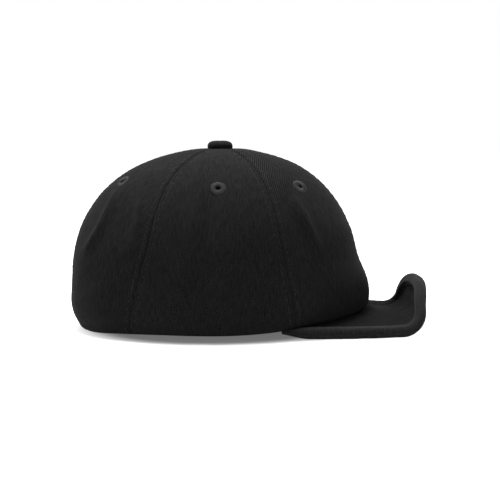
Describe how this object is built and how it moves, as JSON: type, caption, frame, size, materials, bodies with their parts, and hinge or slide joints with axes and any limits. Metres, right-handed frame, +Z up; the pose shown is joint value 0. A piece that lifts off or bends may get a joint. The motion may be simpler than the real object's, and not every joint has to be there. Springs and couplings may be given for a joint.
{
  "type": "bump cap",
  "caption": "Black cotton bump cap in a six-panel cap style, with a turned-up padded peak and a hard foam-padded insert inside the crown.",
  "frame": {"origin": "on the ground below the crown's centre, where the head enters", "axes": "+X to the wearer's front along the peak, +Y to the wearer's left, +Z up"},
  "size_m": [0.2503, 0.174, 0.1335],
  "materials": {
    "twill": "matte cotton twill",
    "thread": "thread embroidery",
    "tape": "woven tape",
    "stiffener": "stiff open mesh",
    "sweatband": "brushed cotton",
    "elastic": "ribbed elastic",
    "shell": "fine moulded texture",
    "foam": "closed-cell foam",
    "webbing": "narrow webbing",
    "board": "plain sheet",
    "steel": "drawn wire and stamped sheet"
  },
  "bodies": {
    "cap": {"front_panel_left": "twill", "front_panel_right": "twill", "side_panel_left": "twill", "side_panel_right": "twill", "back_panel_left": "twill", "back_panel_right": "twill", "front_eyelet_left": "thread", "front_eyelet_right": "thread", "side_eyelet_left": "thread", "side_eyelet_right": "thread", "back_eyelet_left": "thread", "back_eyelet_right": "thread", "button_cover": "twill", "button_rivet": "steel", "button_washer": "steel", "front_seam_tape": "tape", "rear_seam_tape": "tape", "front_side_tape_left": "tape", "front_side_tape_right": "tape", "rear_side_tape_left": "tape", "rear_side_tape_right": "tape", "front_stiffener_left": "stiffener", "front_stiffener_right": "stiffener", "sweatband": "sweatband", "forehead_pad": "foam", "rear_elastic": "elastic", "insert_shell": "shell", "crown_pad": "foam", "front_pad": "foam", "rear_pad": "foam", "side_pad_left": "foam", "side_pad_right": "foam", "insert_tabs": "webbing", "peak_board": "board", "peak_top_cover": "twill", "peak_under_cover": "twill", "peak_roll_left": "twill", "peak_roll_right": "twill", "peak_wire_left": "steel", "peak_wire_right": "steel"},
    "lip": {"lip_board": "board", "lip_top_cover": "twill", "lip_under_cover": "twill", "lip_roll": "twill", "lip_wire": "steel"}
  },
  "joints": [
    {"name": "lip_fold", "type": "hinge", "parent": "cap", "child": "lip", "pos_m": [0.13867, 0, 0.00461], "axis": [0, 1, 0], "range_deg": [0, 80]}
  ]
}
